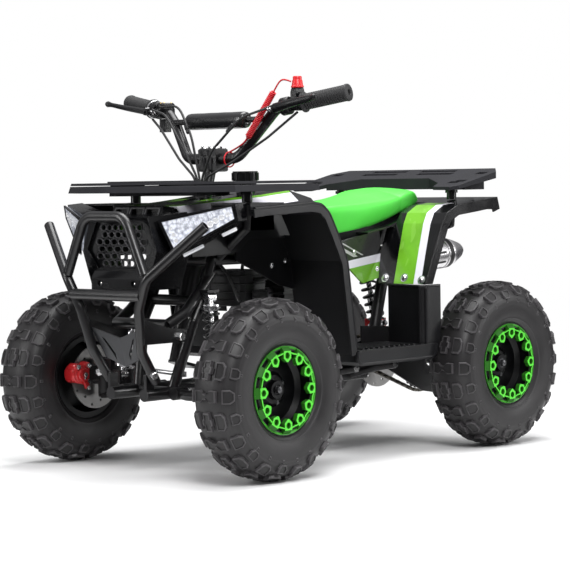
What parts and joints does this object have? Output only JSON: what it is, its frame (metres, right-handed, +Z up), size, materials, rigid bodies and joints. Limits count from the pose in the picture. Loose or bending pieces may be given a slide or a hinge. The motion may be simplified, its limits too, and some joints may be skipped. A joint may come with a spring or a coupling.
{
  "type": "quad bike",
  "caption": "Mini petrol quad bike with a tube bumper, moulded fenders, foot wells, racks, a padded seat and knobbly tyres; the bars steer the front wheels.",
  "frame": {"origin": "on the ground, midway between the axles and on the centre line", "axes": "+X to the front, +Y to the rider's left, +Z up"},
  "size_m": [1.0668, 0.672, 0.7799],
  "materials": {
    "tyre_rubber": "matt",
    "rim_black": "gloss",
    "ring_green": "gloss",
    "disc_steel": "brushed",
    "frame_black": "satin",
    "axle_steel": "satin",
    "body_black": "satin",
    "trim_black": "matt",
    "plate_grey": "satin",
    "lens_clear": "gloss",
    "seat_green": "satin",
    "caliper_red": "gloss",
    "engine_metal": "satin"
  },
  "bodies": {
    "chassis": {"chain": "axle_steel", "chain_guard": "trim_black", "engine": "engine_metal", "footboard_left": "body_black", "footboard_right": "body_black", "frame": "frame_black", "front_arms": "frame_black", "front_bumper": "frame_black", "front_cowl": "body_black", "front_fender_left": "body_black", "front_fender_right": "body_black", "front_rack": "trim_black", "front_shocks": "frame_black", "fuel_cap": "trim_black", "grille": "trim_black", "headlights": "lens_clear", "hood": "body_black", "muffler": "engine_metal", "rack_posts": "frame_black", "rear_body": "body_black", "rear_caliper": "caliper_red", "rear_rack": "trim_black", "rear_shock": "frame_black", "seat": "seat_green", "side_panels": "body_black", "skid_plate": "plate_grey", "swing_arm": "frame_black"},
    "steering": {"steering_column": "frame_black", "handlebar": "frame_black", "grips": "trim_black", "bar_pad": "trim_black", "brake_levers": "frame_black", "bar_controls": "frame_black", "kill_switch_cap": "caliper_red", "tether": "caliper_red", "control_cables": "trim_black"},
    "knuckle_left": {"knuckle_left": "frame_black", "front_caliper_left": "caliper_red"},
    "tie_rod_left": {"tie_rod_left": "axle_steel"},
    "front_wheel_left": {"front_tyre_left": "tyre_rubber", "front_rim_left": "rim_black", "front_bead_ring_left": "ring_green", "front_brake_disc_left": "disc_steel"},
    "knuckle_right": {"knuckle_right": "frame_black", "front_caliper_right": "caliper_red"},
    "tie_rod_right": {"tie_rod_right": "axle_steel"},
    "front_wheel_right": {"front_tyre_right": "tyre_rubber", "front_rim_right": "rim_black", "front_bead_ring_right": "ring_green", "front_brake_disc_right": "disc_steel"},
    "rear_wheels": {"rear_axle": "axle_steel", "rear_tyres": "tyre_rubber", "rear_rims": "rim_black", "rear_bead_rings": "ring_green", "rear_brake_disc": "disc_steel", "sprocket": "axle_steel"}
  },
  "joints": [
    {"name": "steering", "type": "hinge", "parent": "chassis", "child": "steering", "pos_m": [0.219, 0, 0.62], "axis": [-0.2817, 0, 0.9595], "range_deg": [-30, 30]},
    {"name": "knuckle_left_turn", "type": "hinge", "parent": "chassis", "child": "knuckle_left", "pos_m": [0.3575, 0.188, 0.176], "axis": [0, 0, 1], "range_deg": [-30, 30]},
    {"name": "tie_rod_left_turn", "type": "hinge", "parent": "knuckle_left", "child": "tie_rod_left", "pos_m": [0.3125, 0.188, 0.196], "axis": [0, 0, 1], "range_deg": [-30, 30]},
    {"name": "front_wheel_left_spin", "type": "hinge", "parent": "knuckle_left", "child": "front_wheel_left", "pos_m": [0.3575, 0.28, 0.176], "axis": [0, 1, 0], "continuous": true},
    {"name": "knuckle_right_turn", "type": "hinge", "parent": "chassis", "child": "knuckle_right", "pos_m": [0.3575, -0.188, 0.176], "axis": [0, 0, 1], "range_deg": [-30, 30]},
    {"name": "tie_rod_right_turn", "type": "hinge", "parent": "knuckle_right", "child": "tie_rod_right", "pos_m": [0.3125, -0.188, 0.196], "axis": [0, 0, 1], "range_deg": [-30, 30]},
    {"name": "front_wheel_right_spin", "type": "hinge", "parent": "knuckle_right", "child": "front_wheel_right", "pos_m": [0.3575, -0.28, 0.176], "axis": [0, 1, 0], "continuous": true},
    {"name": "rear_axle_spin", "type": "hinge", "parent": "chassis", "child": "rear_wheels", "pos_m": [-0.3575, 0, 0.176], "axis": [0, 1, 0], "continuous": true}
  ],
  "couplings": [
    {"joint": "knuckle_left_turn", "follows": "steering", "ratio": 1},
    {"joint": "tie_rod_left_turn", "follows": "steering", "ratio": -1},
    {"joint": "knuckle_right_turn", "follows": "steering", "ratio": 1},
    {"joint": "tie_rod_right_turn", "follows": "steering", "ratio": -1}
  ]
}
